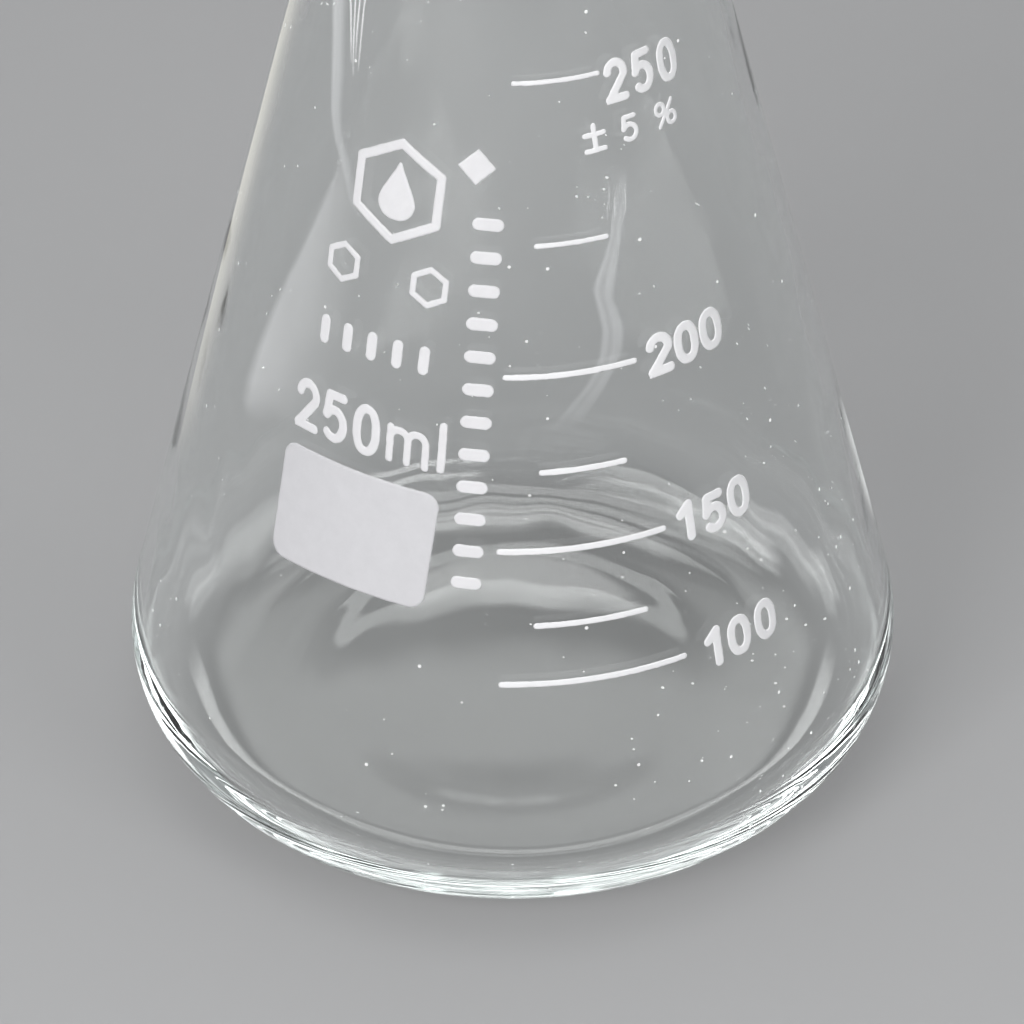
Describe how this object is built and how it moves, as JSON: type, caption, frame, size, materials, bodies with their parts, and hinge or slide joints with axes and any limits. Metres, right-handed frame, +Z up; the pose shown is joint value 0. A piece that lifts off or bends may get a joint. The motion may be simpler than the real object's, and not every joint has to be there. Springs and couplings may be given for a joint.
{
  "type": "erlenmeyer flask",
  "caption": "Clear conical laboratory flask with a rounded heel, straight neck and beaded rim, printed in white with a volume scale and a blank writing patch.",
  "frame": {"origin": "centre of the base, on the flask's axis, in the plane that the foot ring rests on", "axes": "+Z up the flask's axis towards the mouth; -Y is the printed front; +X is to the right of someone facing the print, the side the volume numbers are on"},
  "size_m": [0.08, 0.08, 0.14],
  "materials": {
    "clear_glass": "clear, faint grey-green tint, polished by flame",
    "scale_enamel": "white fired enamel, satin, slightly uneven",
    "label_enamel": "white fired enamel, satin, slightly greyer than the scale",
    "patch_enamel": "white fired enamel, matt enough to write on in pencil"
  },
  "bodies": {
    "root": {"capacity_hundreds": "label_enamel", "capacity_letter_l": "label_enamel", "capacity_letter_m": "label_enamel", "capacity_tens": "label_enamel", "capacity_units": "label_enamel", "column_dash_01": "label_enamel", "column_dash_02": "label_enamel", "column_dash_03": "label_enamel", "column_dash_04": "label_enamel", "column_dash_05": "label_enamel", "column_dash_06": "label_enamel", "column_dash_07": "label_enamel", "column_dash_08": "label_enamel", "column_dash_09": "label_enamel", "column_dash_10": "label_enamel", "column_dash_11": "label_enamel", "column_dash_12": "label_enamel", "emblem_diamond": "label_enamel", "emblem_drop": "label_enamel", "emblem_hexagon": "label_enamel", "emblem_small_hexagon_left": "label_enamel", "emblem_small_hexagon_right": "label_enamel", "flask_body": "clear_glass", "grad_line_100": "scale_enamel", "grad_line_125": "scale_enamel", "grad_line_150": "scale_enamel", "grad_line_175": "scale_enamel", "grad_line_200": "scale_enamel", "grad_line_225": "scale_enamel", "grad_line_250": "scale_enamel", "marking_patch": "patch_enamel", "row_dash_1": "label_enamel", "row_dash_2": "label_enamel", "row_dash_3": "label_enamel", "row_dash_4": "label_enamel", "row_dash_5": "label_enamel", "scale_100_hundreds": "scale_enamel", "scale_100_tens": "scale_enamel", "scale_100_units": "scale_enamel", "scale_150_hundreds": "scale_enamel", "scale_150_tens": "scale_enamel", "scale_150_units": "scale_enamel", "scale_200_hundreds": "scale_enamel", "scale_200_tens": "scale_enamel", "scale_200_units": "scale_enamel", "scale_250_hundreds": "scale_enamel", "scale_250_tens": "scale_enamel", "scale_250_units": "scale_enamel", "tolerance_five": "scale_enamel", "tolerance_percent": "scale_enamel", "tolerance_plus_minus": "scale_enamel"}
  },
  "joints": []
}
